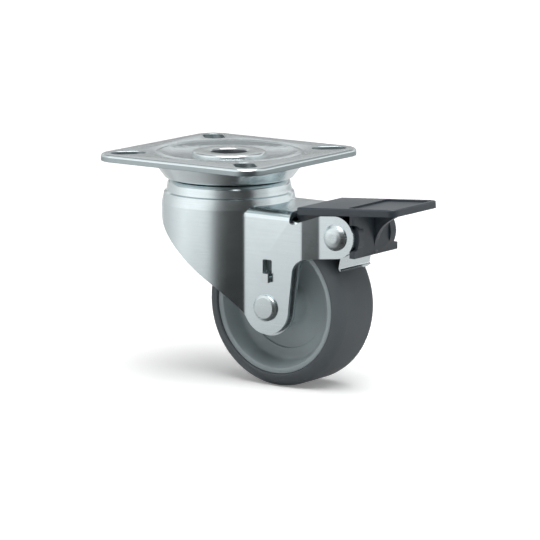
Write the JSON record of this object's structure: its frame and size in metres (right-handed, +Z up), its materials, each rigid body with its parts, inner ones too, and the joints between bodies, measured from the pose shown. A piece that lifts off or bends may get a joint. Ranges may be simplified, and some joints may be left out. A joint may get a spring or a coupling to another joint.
{
  "type": "swivel castor",
  "caption": "Small zinc-plated swivel castor with a square screw-on plate, a pressed steel fork, a grey rubber-tyred wheel and a black plastic foot brake",
  "frame": {"origin": "middle of the plate's top mounting face, on the swivel axis", "axes": "+Z up out of the mounting face along the swivel axis; +X from the swivel axis over the trailing wheel to the pedal's tip with the fork at its rest turn; +Y completes a right-handed frame, along the axle"},
  "size_m": [0.0992, 0.06, 0.0694],
  "materials": {
    "zinc_plate": "satin",
    "zinc_turned": "satin",
    "zinc_race": "satin",
    "zinc_fork": "satin",
    "zinc_rivet": "satin",
    "ball_steel": "gloss",
    "grey_plastic": "matte",
    "grey_rubber": "matte",
    "pedal_plastic": "satin"
  },
  "bodies": {
    "head": {"top_plate": "zinc_plate", "kingpin": "zinc_turned", "upper_race": "zinc_race", "lower_race": "zinc_turned"},
    "fork_body": {"fork": "zinc_fork", "axle_rivet": "zinc_rivet", "axle_tube": "zinc_turned", "pedal_rivet": "zinc_rivet"},
    "wheel": {"wheel_core": "grey_plastic", "tyre": "grey_rubber"},
    "pedal": {"brake_pedal": "pedal_plastic"},
    "brake": {"brake_plate": "zinc_race"},
    "upper_row": {"upper_balls": "ball_steel"},
    "lower_row": {"lower_balls": "ball_steel"}
  },
  "joints": [
    {"name": "swivel", "type": "hinge", "parent": "head", "child": "fork_body", "pos_m": [0, 0, -0.0084], "axis": [0, 0, 1], "continuous": true},
    {"name": "wheel_spin", "type": "hinge", "parent": "fork_body", "child": "wheel", "pos_m": [0.0236, 0, -0.0444], "axis": [0, 1, 0], "continuous": true},
    {"name": "pedal_hinge", "type": "hinge", "parent": "fork_body", "child": "pedal", "pos_m": [0.0476, 0, -0.0209], "axis": [0, 1, 0], "range_deg": [0, 22]},
    {"name": "brake_rock", "type": "hinge", "parent": "fork_body", "child": "brake", "pos_m": [0.0241, 0, -0.0343], "axis": [0, 1, 0], "range_deg": [0, 2.64]},
    {"name": "upper_row_turn", "type": "hinge", "parent": "head", "child": "upper_row", "pos_m": [0, 0, -0.0082], "axis": [0, 0, 1], "continuous": true},
    {"name": "lower_row_turn", "type": "hinge", "parent": "head", "child": "lower_row", "pos_m": [0, 0, -0.01165], "axis": [0, 0, 1], "continuous": true}
  ],
  "couplings": [
    {"joint": "brake_rock", "follows": "pedal_hinge", "ratio": 0.12},
    {"joint": "upper_row_turn", "follows": "swivel", "ratio": 0.5},
    {"joint": "lower_row_turn", "follows": "swivel", "ratio": 0.5}
  ]
}
